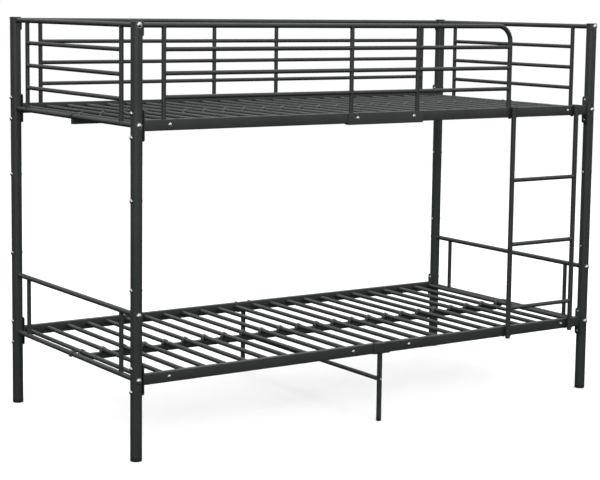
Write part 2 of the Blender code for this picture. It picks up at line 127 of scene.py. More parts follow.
# ---- materials ----------------------------------------------------------------------------------
def shader_of(name):
    made = bpy.data.materials.new(name)
    made.use_nodes = True
    return made, made.node_tree, made.node_tree.nodes["Principled BSDF"]


def noise_node(tree, scale, detail=3.0, roughness=0.55):
    coordinates = tree.nodes.get("Texture Coordinate") or tree.nodes.new("ShaderNodeTexCoord")
    made = tree.nodes.new("ShaderNodeTexNoise")
    made.inputs["Scale"].default_value = scale
    made.inputs["Detail"].default_value = detail
    made.inputs["Roughness"].default_value = roughness
    tree.links.new(coordinates.outputs["Object"], made.inputs["Vector"])
    return made.outputs["Fac"]


def ramp(tree, source, low, high, start, end):
    """Maps start..end of a 0 to 1 value onto low..high."""
    made = tree.nodes.new("ShaderNodeMapRange")
    made.inputs["From Min"].default_value = start
    made.inputs["From Max"].default_value = end
    made.inputs["To Min"].default_value = low
    made.inputs["To Max"].default_value = high
    tree.links.new(source, made.inputs["Value"])
    return made.outputs["Result"]


def two_tone(tree, factor, first, second):
    made = tree.nodes.new("ShaderNodeMix")
    made.data_type = "RGBA"
    made.inputs[6].default_value = (*first, 1)
    made.inputs[7].default_value = (*second, 1)
    tree.links.new(factor, made.inputs[0])
    return made.outputs[2]


def bumped(tree, shader, layers):
    """Stacks bumps, each a (height source, strength, distance in metres)."""
    normal = None
    for height, strength, distance in layers:
        made = tree.nodes.new("ShaderNodeBump")
        made.inputs["Strength"].default_value = strength
        made.inputs["Distance"].default_value = distance
        tree.links.new(height, made.inputs["Height"])
        if normal:
            tree.links.new(normal, made.inputs["Normal"])
        normal = made.outputs["Normal"]
    tree.links.new(normal, shader.inputs["Normal"])


COAT_DARK, COAT_LIGHT = (0.0195, 0.0245, 0.0232), (0.0265, 0.0325, 0.0310)


def powder_coat():
    """Black satin powder coat: fine orange peel, faint mottling, and dust-grey speckle."""
    made, tree, shader = shader_of("black_powder_coat")
    peel = noise_node(tree, 900.0, 2.0)
    grain = noise_node(tree, 2600.0, 1.0)
    cloud = noise_node(tree, 9.0, 3.0)
    handled = noise_node(tree, 34.0, 4.0, 0.65)
    body = two_tone(tree, ramp(tree, cloud, 0, 1, 0.3, 0.7), COAT_DARK, COAT_LIGHT)
    speck = tree.nodes.new("ShaderNodeMix")
    speck.data_type = "RGBA"
    speck.inputs[7].default_value = (0.055, 0.061, 0.059, 1)
    tree.links.new(body, speck.inputs[6])
    tree.links.new(ramp(tree, grain, 0, 0.5, 0.56, 0.74), speck.inputs[0])
    tree.links.new(speck.outputs[2], shader.inputs["Base Color"])
    tree.links.new(ramp(tree, handled, 0.40, 0.56, 0.25, 0.75), shader.inputs["Roughness"])
    shader.inputs["Specular IOR Level"].default_value = 0.42
    bumped(tree, shader, ((peel, 0.35, 0.00012), (grain, 0.25, 0.00005)))
    return made


def moulded_plastic(name, colour, low, high):
    """Moulded plastic with spark-eroded grain."""
    made, tree, shader = shader_of(name)
    grain = noise_node(tree, 1500.0, 2.0)
    cloud = noise_node(tree, 60.0, 2.0)
    lighter = tuple(1.35 * c for c in colour)
    tree.links.new(two_tone(tree, cloud, colour, lighter), shader.inputs["Base Color"])
    tree.links.new(ramp(tree, grain, low, high, 0.3, 0.7), shader.inputs["Roughness"])
    bumped(tree, shader, ((grain, 0.3, 0.00006),))
    return made


def zinc(name, dark, bright):
    """Zinc plate: slightly uneven colour, with fine tool marks."""
    made, tree, shader = shader_of(name)
    stain = noise_node(tree, 240.0, 3.0)
    marks = noise_node(tree, 1800.0, 2.0)
    colour = two_tone(tree, ramp(tree, stain, 0, 1, 0.35, 0.65), dark, bright)
    tree.links.new(colour, shader.inputs["Base Color"])
    tree.links.new(ramp(tree, marks, 0.22, 0.38, 0.3, 0.7), shader.inputs["Roughness"])
    shader.inputs["Metallic"].default_value = 1.0
    bumped(tree, shader, ((marks, 0.2, 0.00004),))
    return made


STEEL = powder_coat()
PLASTIC = moulded_plastic("black_moulded_plastic", (0.011, 0.0115, 0.0115), 0.42, 0.55)
CLIP_PLASTIC = moulded_plastic("glossy_clip_plastic", (0.024, 0.0245, 0.0245), 0.08, 0.16)
ZINC = zinc("bright_zinc", (0.42, 0.43, 0.44), (0.62, 0.63, 0.64))


# ---- mesh helpers -------------------------------------------------------------------------------
def smooth_mesh(name, bm, material):
    bmesh.ops.recalc_face_normals(bm, faces=bm.faces)
    mesh = bpy.data.meshes.new(name)
    bm.to_mesh(mesh)
    bm.free()
    mesh.shade_smooth()
    mesh.set_sharp_from_angle(angle=SMOOTH_ANGLE)
    mesh.materials.append(material)
    return mesh


def finished(name, bm, material, body=BED, stands_for=()):
    """Turns a bmesh into a smooth-shaded piece that rides on its body."""
    made = bpy.data.objects.new(name, smooth_mesh(name, bm, material))
    bpy.context.scene.collection.objects.link(made)
    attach(made, body)
    if stands_for:
        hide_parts(*stands_for)
    return made


def instance(name, mesh, place, turn):
    """Another copy of a mesh, turned and placed."""
    made = bpy.data.objects.new(name, mesh)
    bpy.context.scene.collection.objects.link(made)
    made.matrix_world = Matrix.Translation(place) @ turn.to_4x4()
    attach(made, BED)


def across(axis):
    """Two unit vectors at right angles to an axis."""
    side = axis.cross(Z if abs(axis.z) < 0.9 else X).normalized()
    return side, axis.cross(side).normalized()


def lathe(profile, centre=(0, 0, 0), axis=Z, sides=POST_SIDES):
    """A closed solid of revolution. The profile's points are (radius, height along the axis)."""
    side, up = across(axis)
    centre = Vector(centre)
    bm = bmesh.new()
    rings = []
    for radius, height in profile:
        base = centre + axis * height
        if radius < 1e-7:
            rings.append([bm.verts.new(base)])
            continue
        ring = []
        for k in range(sides):
            angle = 2 * math.pi * k / sides
            ring.append(bm.verts.new(base + (side * math.cos(angle) + up * math.sin(angle)) * radius))
        rings.append(ring)
    for first, second in zip(rings, rings[1:] + rings[:1]):
        if len(first) == 1 and len(second) == 1:
            continue
        for k in range(sides):
            j = (k + 1) % sides
            if len(first) == 1:
                bm.faces.new((first[0], second[j], second[k]))
            elif len(second) == 1:
                bm.faces.new((first[k], first[j], second[0]))
            else:
                bm.faces.new((first[k], first[j], second[j], second[k]))
    return bm


def tube(start, end, radius, sides=TUBE_SIDES, edge=0.0006):
    """A round bar with softened ends."""
    start, end = Vector(start), Vector(end)
    run = (end - start).length
    profile = [(0, 0), (radius - edge, 0), (radius, edge),
               (radius, run - edge), (radius - edge, run), (0, run)]
    return lathe(profile, start, (end - start).normalized(), sides)


def swept(points, radius, sides=TUBE_SIDES, radii=None, closed=False):
    """A tube along a path of points."""
    bm = bmesh.new()
    points = [Vector(p) for p in points]
    count = len(points)
    rings = []
    side = None
    for i, point in enumerate(points):
        before = points[(i - 1) % count] if closed else points[max(i - 1, 0)]
        after = points[(i + 1) % count] if closed else points[min(i + 1, count - 1)]
        along = (after - before).normalized()
        if side is None:
            side = across(along)[0]
        side = (side - along * side.dot(along)).normalized()
        up = along.cross(side)
        size = radii[i] if radii else radius
        ring = []
        for k in range(sides):
            angle = 2 * math.pi * k / sides
            ring.append(bm.verts.new(point + (side * math.cos(angle) + up * math.sin(angle)) * size))
        rings.append(ring)
    pairs = list(zip(rings, rings[1:]))
    if closed:
        turn = min(range(sides), key=lambda s: (rings[0][s].co - rings[-1][0].co).length)
        pairs.append((rings[-1], rings[0][turn:] + rings[0][:turn]))
    else:
        bm.faces.new(rings[0])
        bm.faces.new(rings[-1])
    for first, second in pairs:
        for k in range(sides):
            j = (k + 1) % sides
            bm.faces.new((first[k], first[j], second[j], second[k]))
    return bm


def rounded_outline(width, height, corner, steps=5):
    """Points round a rectangle with round corners, centred on 0, 0."""
    points = []
    for cx, cy, first in ((1, 1, 0), (-1, 1, 90), (-1, -1, 180), (1, -1, 270)):
        for i in range(steps + 1):
            angle = math.radians(first + 90 * i / steps)
            points.append((cx * (width / 2 - corner) + corner * math.cos(angle),
                           cy * (height / 2 - corner) + corner * math.sin(angle)))
    return points


def prism(outline, low, high, axis="X", edge=0.0):
    """A flat outline pushed along an axis: (Y, Z) points for X, (X, Z) for Y. edge softens the ends."""
    def corner(a, b, along):
        return (along, a, b) if axis == "X" else (a, along, b)

    bm = bmesh.new()
    ring = [bm.verts.new(corner(a, b, low)) for a, b in outline]
    face = bm.faces.new(ring)
    pushed = bmesh.ops.extrude_face_region(bm, geom=[face])
    moved = [v for v in pushed["geom"] if isinstance(v, bmesh.types.BMVert)]
    run = Vector((high - low, 0, 0)) if axis == "X" else Vector((0, high - low, 0))
    bmesh.ops.translate(bm, vec=run, verts=moved)
    if edge:
        rims = [e for e in bm.edges if abs((e.verts[0].co - e.verts[1].co).dot(run)) < 1e-12]
        bmesh.ops.bevel(bm, geom=rims, offset=edge, segments=2, profile=0.5, affect="EDGES",
                        clamp_overlap=True)
    return bm


def rounded_path(points, radii, steps=4):
    """A closed outline with its corners rounded, with a radius for each point."""
    count = len(points)
    rounded = []
    for i, point in enumerate(points):
        here = Vector((*point, 0))
        to_last = Vector((*points[i - 1], 0)) - here
        to_next = Vector((*points[(i + 1) % count], 0)) - here
        half = to_last.angle(to_next) / 2
        reach = min(radii[i] / math.tan(half), to_last.length * 0.45, to_next.length * 0.45)
        if reach < 1e-6:
            rounded.append(point)
            continue
        size = reach * math.tan(half)
        bisector = (to_last.normalized() + to_next.normalized()).normalized()
        centre = here + bisector * (size / math.sin(half))
        first = here + to_last.normalized() * reach - centre
        last = here + to_next.normalized() * reach - centre
        for k in range(steps + 1):
            part = first.lerp(last, k / steps).normalized() * size + centre
            rounded.append((part.x, part.y))
    return rounded


def ring_of(outer, inner, low, high):
    """A hollow tube along X between two outlines with the same number of points."""
    bm = bmesh.new()
    loops = []
    for along in (low, high):
        loops.append([bm.verts.new((along, a, b)) for a, b in outer])
        loops.append([bm.verts.new((along, a, b)) for a, b in inner])
    near_out, near_in, far_out, far_in = loops
    for first, second in ((near_out, far_out), (near_in, far_in), (near_out, near_in), (far_out, far_in)):
        for k in range(len(first)):
            j = (k + 1) % len(first)
            bm.faces.new((first[k], first[j], second[j], second[k]))
    return bm


def moved(bm, vec):
    bmesh.ops.translate(bm, vec=vec, verts=bm.verts)
    return bm


def welded(parts, cuts=()):
    """Joins overlapping closed meshes into one mesh, then takes the cuts away."""
    def temporary(bm):
        bmesh.ops.recalc_face_normals(bm, faces=bm.faces)
        mesh = bpy.data.meshes.new("part")
        bm.to_mesh(mesh)
        bm.free()
        made = bpy.data.objects.new("part", mesh)
        bpy.context.scene.collection.objects.link(made)
        return made

    base = temporary(parts[0])
    tools = []
    for operation, shapes in (("UNION", parts[1:]), ("DIFFERENCE", cuts)):
        for shape in shapes:
            tool = temporary(shape)
            step = base.modifiers.new(operation.lower(), "BOOLEAN")
            step.operation = operation
            step.solver = "MANIFOLD"
            step.object = tool
            tools.append(tool)
    shaped = bpy.data.meshes.new_from_object(base.evaluated_get(bpy.context.evaluated_depsgraph_get()))
    bm = bmesh.new()
    bm.from_mesh(shaped)
    bmesh.ops.remove_doubles(bm, verts=bm.verts, dist=1e-6)
    bmesh.ops.dissolve_degenerate(bm, edges=bm.edges, dist=1e-6)
    for old in [base] + tools:
        mesh = old.data
        bpy.data.objects.remove(old)
        bpy.data.meshes.remove(mesh)
    bpy.data.meshes.remove(shaped)
    return bm


WELD_SIZE = 0.0014


def weld(centre, branch, main, branch_radius, main_radius):
    """The bead round the end of a tube that meets the side of another, lumpy as a real bead is."""
    branch, main, centre = Vector(branch).normalized(), Vector(main).normalized(), Vector(centre)
    sideways = branch.cross(main)
    steps = 40
    points, radii = [], []
    for i in range(steps):
        angle = 2 * math.pi * i / steps
        along_main = branch_radius * math.cos(angle)
        along_side = branch_radius * math.sin(angle)
        out = math.sqrt(max(main_radius ** 2 - along_side ** 2, 0))
        point = centre + main * along_main + sideways * along_side + branch * out
        points.append(point)
        ripple = 0.12 * math.sin(9 * angle) + 0.25 * noise.noise(point * 260)
        radii.append(WELD_SIZE * (1 + ripple))
    return swept(points, WELD_SIZE, sides=8, radii=radii, closed=True)


# ---- posts --------------------------------------------------------------------------------------
EDGE = 0.0005


def tube_wall(low, high):
    inner = POST_RADIUS - POST_WALL
    return [(inner, low), (POST_RADIUS - EDGE, low), (POST_RADIUS, low + EDGE),
            (POST_RADIUS, high - EDGE), (POST_RADIUS - EDGE, high), (inner, high)]


def make_posts():
    for corner, sx, sy in CORNERS:
        place = (sx * POST_X, sy * POST_Y, 0)
        for section in ("lower", "upper"):
            low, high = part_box(f"post_{section}_{corner}")
            wall = tube_wall(low.z, high.z)
            finished(f"post_{section}_tube_{corner}", lathe(wall, place), STEEL,
                     stands_for=[f"post_{section}_{corner}"])

        low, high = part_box(f"post_joiner_{corner}")
        spigot = POST_RADIUS - POST_WALL - CLEAR
        bore = spigot - SHEET
        bottom, top = JOINER_BOTTOM + CLEAR, JOINER_TOP - CLEAR
        wall = [
            (bore, low.z), (spigot - EDGE, low.z), (spigot, low.z + EDGE), (spigot, bottom),
            (POST_RADIUS - EDGE, bottom), (POST_RADIUS, bottom + EDGE), (POST_RADIUS, top - EDGE),
            (POST_RADIUS - EDGE, top), (spigot, top), (spigot, high.z - EDGE), (spigot - EDGE, high.z),
            (bore, high.z),
        ]
        finished(f"post_middle_tube_{corner}", lathe(wall, place), STEEL,
                 stands_for=[f"post_joiner_{corner}"])


def make_caps():
    for corner, sx, sy in CORNERS:
        place = (sx * POST_X, sy * POST_Y, 0)
        low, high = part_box(f"post_cap_{corner}")
        rim = (high.x - low.x) / 2
        plug = POST_RADIUS - POST_WALL - CLEAR
        under = high.z - 0.0035
        crown = [
            (0, low.z), (plug - 0.001, low.z), (plug, low.z + 0.001), (plug, under), (rim - 0.0004, under),
            (rim, under + 0.0004), (rim, high.z - 0.0016), (rim - 0.0006, high.z - 0.0007),
            (rim - 0.0018, high.z - 0.0002), (rim - 0.004, high.z), (0, high.z),
        ]
        finished(f"post_end_cap_{corner}", lathe(crown, place), PLASTIC, stands_for=[f"post_cap_{corner}"])

        low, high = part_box(f"foot_cap_{corner}")
        sole = POST_RADIUS
        shoulder = 0.014
        ground = [(0, 0), (sole - 0.0045, 0)]
        for i in range(7):
            angle = math.radians(-90 + 90 * i / 6)
            ground.append((sole - 0.0035 + 0.0035 * math.cos(angle), 0.0035 + 0.0035 * math.sin(angle)))
        ground += [(sole, shoulder - 0.0006), (sole - 0.0006, shoulder), (plug, shoulder),
                   (plug, high.z - 0.001), (plug - 0.001, high.z), (0, high.z)]
        finished(f"post_foot_{corner}", lathe(ground, place), PLASTIC, stands_for=[f"foot_cap_{corner}"])

    for face, sy in SIDES_Y:
        low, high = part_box(f"centre_foot_{face}")
        sole = LEG_RADIUS
        ground = [(0, 0), (sole - 0.002, 0), (sole - 0.0006, 0.0006), (sole, 0.002),
                  (sole, high.z - 0.0008), (sole - 0.0008, high.z), (0, high.z)]
        finished(f"leg_foot_{face}", lathe(ground, (0, sy * POST_Y, 0), sides=TUBE_SIDES), PLASTIC,
                 stands_for=[f"centre_foot_{face}"])


# ---- end panels ---------------------------------------------------------------------------------
def post_room(sx, sy, low, high):
    x, y = sx * POST_X, sy * POST_Y
    return tube((x, y, low), (x, y, high), POST_RADIUS + CLEAR, POST_SIDES)


def make_end_panel(level, side, sx, bottom, top, bars):
    x = sx * POST_X
    reach = POST_Y - POST_RADIUS / 2
    parts = [tube((x, -reach, z), (x, reach, z), END_TUBE_RADIUS) for z in (bottom, top)]
    for y in (-END_UPRIGHT_Y, END_UPRIGHT_Y):
        parts.append(tube((x, y, bottom), (x, y, top), UPRIGHT_RADIUS))
        parts.append(weld((x, y, bottom), Z, Y, UPRIGHT_RADIUS, END_TUBE_RADIUS))
        parts.append(weld((x, y, top), -Z, Y, UPRIGHT_RADIUS, END_TUBE_RADIUS))
    for i in range(bars):
        z = top + (bottom - top) * (i + 1) / (bars + 1)
        parts.append(tube((x, -END_UPRIGHT_Y, z), (x, END_UPRIGHT_Y, z), BAR_RADIUS))
        for sy in (-1, 1):
            parts.append(weld((x, sy * END_UPRIGHT_Y, z), -sy * Y, Z, BAR_RADIUS, UPRIGHT_RADIUS))
    cuts = [post_room(sx, sy, bottom - 0.05, top + 0.05) for sy in (-1, 1)]
    finished(f"end_frame_{level}_{side}", welded(parts, cuts), STEEL,
             stands_for=[f"end_panel_{level}_{side}"])


# ---- side rails and their plates ----------------------------------------------------------------
def make_rails():
    inside_width = RAIL_WIDTH - 2 * RAIL_WALL
    inside_height = RAIL_HEIGHT - 2 * RAIL_WALL
    outer = rounded_outline(RAIL_WIDTH, RAIL_HEIGHT, RAIL_CORNER)
    inner = rounded_outline(inside_width, inside_height, RAIL_CORNER - RAIL_WALL)
    stub_outline = rounded_outline(inside_width - 2 * CLEAR, inside_height - 2 * CLEAR, 0.001)
    for level, deck in DECKS.items():
        for face_side, sx, sy in CORNERS:
            low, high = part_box(f"side_rail_{level}_{face_side}")
            rail = moved(ring_of(outer, inner, low.x, high.x), (0, sy * POST_Y, deck))
            finished(f"rail_tube_{level}_{face_side}", rail, STEEL,
                     stands_for=[f"side_rail_{level}_{face_side}"])

            low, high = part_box(f"rail_bracket_{level}_{face_side}")
            near = PLATE_OUTER_X - PLATE_THICKNESS
            outline = rounded_outline(high.y - low.y, high.z - low.z, 0.008, 8)
            ends = sorted((sx * near, sx * PLATE_OUTER_X))
            plate = moved(prism(outline, *ends, edge=0.0005), (0, sy * POST_Y, deck))
            stub_end = low.x if sx > 0 else high.x
            ends = sorted((stub_end, sx * (near + PLATE_THICKNESS / 2)))
            stub = moved(prism(stub_outline, *ends), (0, sy * POST_Y, deck))
            finished(f"rail_end_plate_{level}_{face_side}", welded([plate, stub]), STEEL,
                     stands_for=[f"rail_bracket_{level}_{face_side}"])


def j_channel(deck, sy, length, bottom, slant):
    """Folded sheet under a rail: a full outer flange, a web and a low inner flange, with slanted ends."""
    inner = RAIL_FACE + CLEAR
    outer = inner + SHEET
    top = deck + RAIL_TOP - 0.001
    back = deck + SLAT_RISE - SLAT_RADIUS - 0.001
    points = [(outer, top), (outer, bottom), (-outer, bottom), (-outer, back),
              (-inner, back), (-inner, bottom + SHEET), (inner, bottom + SHEET), (inner, top)]
    radii = [0.0006, 0.0028, 0.0028, 0.0006, 0.0006, 0.0008, 0.0008, 0.0006]
    outline = [(sy * (POST_Y + a), z) for a, z in rounded_path(points, radii)]
    folded = prism(outline, -length / 2, length / 2)
    cuts = []
    for sx in (-1, 1):
        end = sx * length / 2
        wedge = [(end - sx * slant, bottom - 0.001), (end + sx * 0.002, bottom - 0.001),
                 (end + sx * 0.002, bottom + slant * 0.8)]
        cuts.append(prism(wedge, sy * POST_Y - 0.03, sy * POST_Y + 0.03, axis="Y"))
    return folded, cuts


def make_joiners():
    for face, sy in SIDES_Y:
        low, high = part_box(f"rail_joiner_upper_{face}")
        folded, cuts = j_channel(DECKS["upper"], sy, high.x - low.x, low.z, 0.006)
        finished(f"rail_channel_{face}", welded([folded], cuts), STEEL,
                 stands_for=[f"rail_joiner_upper_{face}"])
        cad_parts[f"rail_joiner_lower_{face}"].data.materials.clear()
        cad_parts[f"rail_joiner_lower_{face}"].data.materials.append(STEEL)


# ---- centre support -----------------------------------------------------------------------------
def make_centre_support():
    deck = DECKS["lower"]
    for face, sy in SIDES_Y:
        low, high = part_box(f"centre_leg_{face}")
        y = sy * POST_Y
        length = high.x - low.x
        bottom = deck - RAIL_TOP - SHEET - CLEAR
        folded, cuts = j_channel(deck, sy, length, bottom, 0.005)
        under, inner = deck + RAIL_TOP + CLEAR, RAIL_FACE - 0.006
        outer = RAIL_FACE + CLEAR
        tab = rounded_path(
            [(outer + SHEET, under - 0.006), (outer + SHEET, under + SHEET), (inner, under + SHEET),
             (inner, under), (outer, under), (outer, under - 0.006)],
            [0.0003, 0.0022, 0.0005, 0.0005, 0.0004, 0.0003])
        parts = [folded]
        for x in (-length / 2 + 0.001, length / 2 - 0.010):
            parts.append(prism([(sy * (POST_Y + a), z) for a, z in tab], x, x + 0.009))
        leg_top = bottom + SHEET / 2
        parts.append(tube((0, y, low.z), (0, y, leg_top), LEG_RADIUS))
        ring = [(LEG_RADIUS * math.cos(a), y + LEG_RADIUS * math.sin(a), bottom)
                for a in (2 * math.pi * i / 40 for i in range(40))]
        radii = [WELD_SIZE * (1.1 + 0.25 * noise.noise(Vector(p) * 260)) for p in ring]
        parts.append(swept(ring, WELD_SIZE, sides=8, radii=radii, closed=True))
        finished(f"centre_leg_saddle_{face}", welded(parts, cuts), STEEL, stands_for=[f"centre_leg_{face}"])

    reach = POST_Y - LEG_RADIUS / 2
    brace = tube((0, -reach, BRACE_Z), (0, reach, BRACE_Z), BRACE_RADIUS)
    room = [tube((0, sy * POST_Y, BRACE_Z - 0.05), (0, sy * POST_Y, BRACE_Z + 0.05), LEG_RADIUS + CLEAR)
            for sy in (-1, 1)]
    finished("leg_cross_tube", welded([brace], room), STEEL, stands_for=["centre_brace"])


# ---- decks --------------------------------------------------------------------------------------
def slat_tube(x, end_y, z):
    """A slat: thin tube along Y, its rims rolled and its mouths open, closed off deeper inside."""
    wall, mouth = 0.0010, 0.012
    half = [(SLAT_RADIUS - wall, end_y - mouth), (SLAT_RADIUS - wall, end_y - 0.0004),
            (SLAT_RADIUS - 0.0007, end_y), (SLAT_RADIUS - 0.0003, end_y - 0.0001),
            (SLAT_RADIUS, end_y - 0.0005)]
    profile = [(0, end_y - mouth)] + half + [(r, -y) for r, y in reversed(half)] + [(0, mouth - end_y)]
    return lathe(profile, centre=(x, 0, z), axis=Y, sides=TUBE_SIDES)


def slat_clip():
    """A moulded clip: a base on the beam and a band over the slat, with its beam and slat at the origin."""
    band = 0.0022
    length = 0.020
    seat = -SLAT_RADIUS - 0.0035
    outline = []
    for i in range(17):
        angle = math.radians(180 - 180 * i / 16)
        outline.append(((SLAT_RADIUS + band) * math.cos(angle), (SLAT_RADIUS + band) * math.sin(angle)))
    outline += [(0.0125, -0.006), (0.0125, seat), (-0.0125, seat), (-0.0125, -0.006)]
    body = prism(outline, -length / 2, length / 2, axis="Y", edge=0.0007)
    hole = tube((0, -0.03, 0), (0, 0.03, 0), SLAT_RADIUS + 0.0001)
    ribs = [tube((x, -0.007, -0.0035), (x, 0.007, -0.0035), 0.0022, 16) for x in (-0.0105, 0.0105)]
    stud = lathe([(0, 0.008), (0.0034, 0.008), (0.0034, 0.0108), (0.0028, 0.0116), (0.0015, 0.0120),
                  (0, 0.0121)], sides=24)
    return welded([body, stud] + ribs, [hole])


def end_tube_arc(deck, radius, first, last, steps=24):
    """Points round the end tube, x outwards, with angles in degrees from its outer side."""
    angles = [math.radians(first + (last - first) * i / steps) for i in range(steps + 1)]
    return [(POST_X + radius * math.cos(a), deck + radius * math.sin(a)) for a in angles]


def beam_outline(level, deck):
    """Side view of half a centre beam. The upper reaches under the end tube, the lower slopes away."""
    low, high = deck + BEAM_BOTTOM, deck + BEAM_TOP
    bore = END_TUBE_RADIUS + CLEAR
    strap = bore + HOOK_PLATE
    start = math.degrees(math.asin(BEAM_TOP / strap))
    if level == "upper":
        mouth = [(POST_X - 0.0006, low), (POST_X, low + 0.0006)] + end_tube_arc(deck, bore, 270, 14)
        over = end_tube_arc(deck, strap, 16, 180 - start)
    else:
        tip = deck - END_TUBE_RADIUS
        mouth = [(POST_X - BEAM_END_CUT, low), (POST_X - bore, tip)] + end_tube_arc(deck, bore, 180, 0)
        over = [(POST_X + bore, tip + 0.0006), (POST_X + bore + 0.0006, tip),
                (POST_X + strap - 0.0006, tip), (POST_X + strap, tip + 0.0006)]
        over += end_tube_arc(deck, strap, 0, 180 - start)
    return [(CLEAR, low)] + mouth + over + [(CLEAR, high)]


def make_decks():
    clip_mesh = smooth_mesh("slat_clip", slat_clip(), CLIP_PLASTIC)
    upright = Matrix.Identity(3)
    for level, deck in DECKS.items():
        slat_z = deck + SLAT_RISE
        for side, sx in SIDES_X:
            node = f"slat_grid_{level}_{side}"
            slat_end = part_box(node)[1].y
            outline = [(sx * a, b) for a, b in beam_outline(level, deck)]
            beam = prism(outline, -BEAM_HALF_WIDTH, BEAM_HALF_WIDTH, axis="Y", edge=0.0005)
            finished(f"centre_beam_{level}_{side}", beam, STEEL, stands_for=[node])
            for i in range(SLATS_PER_HALF):
                x = sx * SLAT_SPACING * (i + 0.5)
                number = f"{level}_{side}_{i + 1:02d}"
                finished(f"slat_{number}", slat_tube(x, slat_end, slat_z), STEEL)
                instance(f"slat_clip_{number}", clip_mesh, (x, 0, slat_z), upright)
        low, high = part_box(f"beam_joiner_{level}")
        inner = BEAM_HALF_WIDTH + CLEAR
        outer = inner + SHEET
        web = deck + BEAM_BOTTOM - CLEAR
        points = [(-outer, high.z), (-outer, low.z), (outer, low.z), (outer, high.z),
                  (inner, high.z), (inner, web), (-inner, web), (-inner, high.z)]
        outline = rounded_path(points, [0.0006, 0.0028, 0.0028, 0.0006, 0.0006, 0.0008, 0.0008, 0.0006])
        finished(f"beam_channel_{level}", prism(outline, low.x, high.x), STEEL,
                 stands_for=[f"beam_joiner_{level}"])


# ---- guards -------------------------------------------------------------------------------------
def guard_tab(sx, y):
    """The small plate at the end of a guard's top tube, screwed to the post."""
    low_z, high_z = TOP_RAIL_Z + END_TUBE_RADIUS - 0.045, TOP_RAIL_Z + 0.004
    outline = rounded_outline(0.016, high_z - low_z, 0.005, 6)
    ends = sorted((sx * (PLATE_OUTER_X - PLATE_THICKNESS), sx * PLATE_OUTER_X))
    return moved(prism(outline, *ends, edge=0.0004), (0, y, (low_z + high_z) / 2))


def make_guard(face, sy):
    y = sy * POST_Y
    reach = PLATE_OUTER_X - PLATE_THICKNESS / 2
    foot = DECKS["upper"] + RAIL_TOP + CLEAR
    places = GUARD_UPRIGHTS if face == "rear" else GUARD_UPRIGHTS[:3]
    last = GUARD_UPRIGHTS[3] if face == "rear" else GUARD_END_X
    if face == "rear":
        top_tube = tube((-reach, y, TOP_RAIL_Z), (reach, y, TOP_RAIL_Z), END_TUBE_RADIUS)
        parts = [top_tube, guard_tab(-1, y), guard_tab(1, y)]
    else:
        path = [(-reach, y, TOP_RAIL_Z)]
        for i in range(17):
            angle = math.pi / 2 * (1 - i / 16)
            path.append((last - GUARD_BEND + GUARD_BEND * math.cos(angle), y,
                         TOP_RAIL_Z - GUARD_BEND + GUARD_BEND * math.sin(angle)))
        path.append((last, y, foot))
        parts = [swept(path, END_TUBE_RADIUS), guard_tab(-1, y)]
    for x in places:
        parts.append(tube((x, y, foot), (x, y, TOP_RAIL_Z), UPRIGHT_RADIUS))
        parts.append(weld((x, y, TOP_RAIL_Z), -Z, X, UPRIGHT_RADIUS, END_TUBE_RADIUS))
    stops = [(x, UPRIGHT_RADIUS) for x in places]
    if face == "front":
        stops.append((last, END_TUBE_RADIUS))
    for i in range(3):
        z = TOP_RAIL_Z - GUARD_BAR_SPACING * (i + 1)
        parts.append(tube((stops[0][0], y, z), (stops[-1][0], y, z), BAR_RADIUS))
        for (left, left_radius), (right, right_radius) in zip(stops, stops[1:]):
            parts.append(weld((left, y, z), X, Z, BAR_RADIUS, left_radius))
            parts.append(weld((right, y, z), -X, Z, BAR_RADIUS, right_radius))
    finished(f"guard_rail_{face}", welded(parts), STEEL, stands_for=[f"guard_{face}"])


# ---- ladder -------------------------------------------------------------------------------------
def make_ladder():
    stile_y = ladder_low.y + STILE_RADIUS
    stile_top = ladder_high.z - 0.0004
    parts = []
    for x in LADDER_X:
        parts.append(tube((x, stile_y, ladder_low.z), (x, stile_y, stile_top), STILE_RADIUS, edge=0.0012))
    for z in RUNG_HEIGHTS:
        parts.append(tube((LADDER_X[0], stile_y, z), (LADDER_X[1], stile_y, z), RUNG_RADIUS))
        parts.append(weld((LADDER_X[0], stile_y, z), X, Z, RUNG_RADIUS, STILE_RADIUS))
        parts.append(weld((LADDER_X[1], stile_y, z), -X, Z, RUNG_RADIUS, STILE_RADIUS))
    front, back = -POST_Y - RAIL_FACE - 0.0005, -POST_Y + RAIL_FACE + 0.0005
    for x in LADDER_X:
        for deck in DECKS.values():
            under = deck + RAIL_TOP + CLEAR
            top = under + STRAP_THICKNESS
            front_low, back_low = deck - RAIL_TOP, deck - RAIL_TOP - 0.007
            points = [(front, front_low), (front, under), (back, under), (back, back_low),
                      (back + STRAP_THICKNESS, back_low), (back + STRAP_THICKNESS, top),
                      (stile_y, top), (stile_y, front_low)]
            radii = [0.0005, 0.0008, 0.0012, 0.0004, 0.0004, 0.0040, 0.0005, 0.0005]
            middle_x = x + STRAP_OFFSET
            strap_low, strap_high = middle_x - STRAP_WIDTH / 2, middle_x + STRAP_WIDTH / 2
            strap = prism(rounded_path(points, radii), strap_low, strap_high)
            corner = 0.006
            trims = []
            for sx in (-1, 1):
                edge_x = middle_x + sx * STRAP_WIDTH / 2
                past = edge_x + sx * 0.001
                wedge = [(edge_x - sx * corner, back_low - 0.001), (past, back_low - 0.001),
                         (past, back_low + corner)]
                trims.append(prism(wedge, back - 0.002, back + STRAP_THICKNESS + 0.002, axis="Y"))
            parts.append(welded([strap], trims))
    finished("ladder_welded", welded(parts), STEEL, body=LADDER, stands_for=["ladder"])


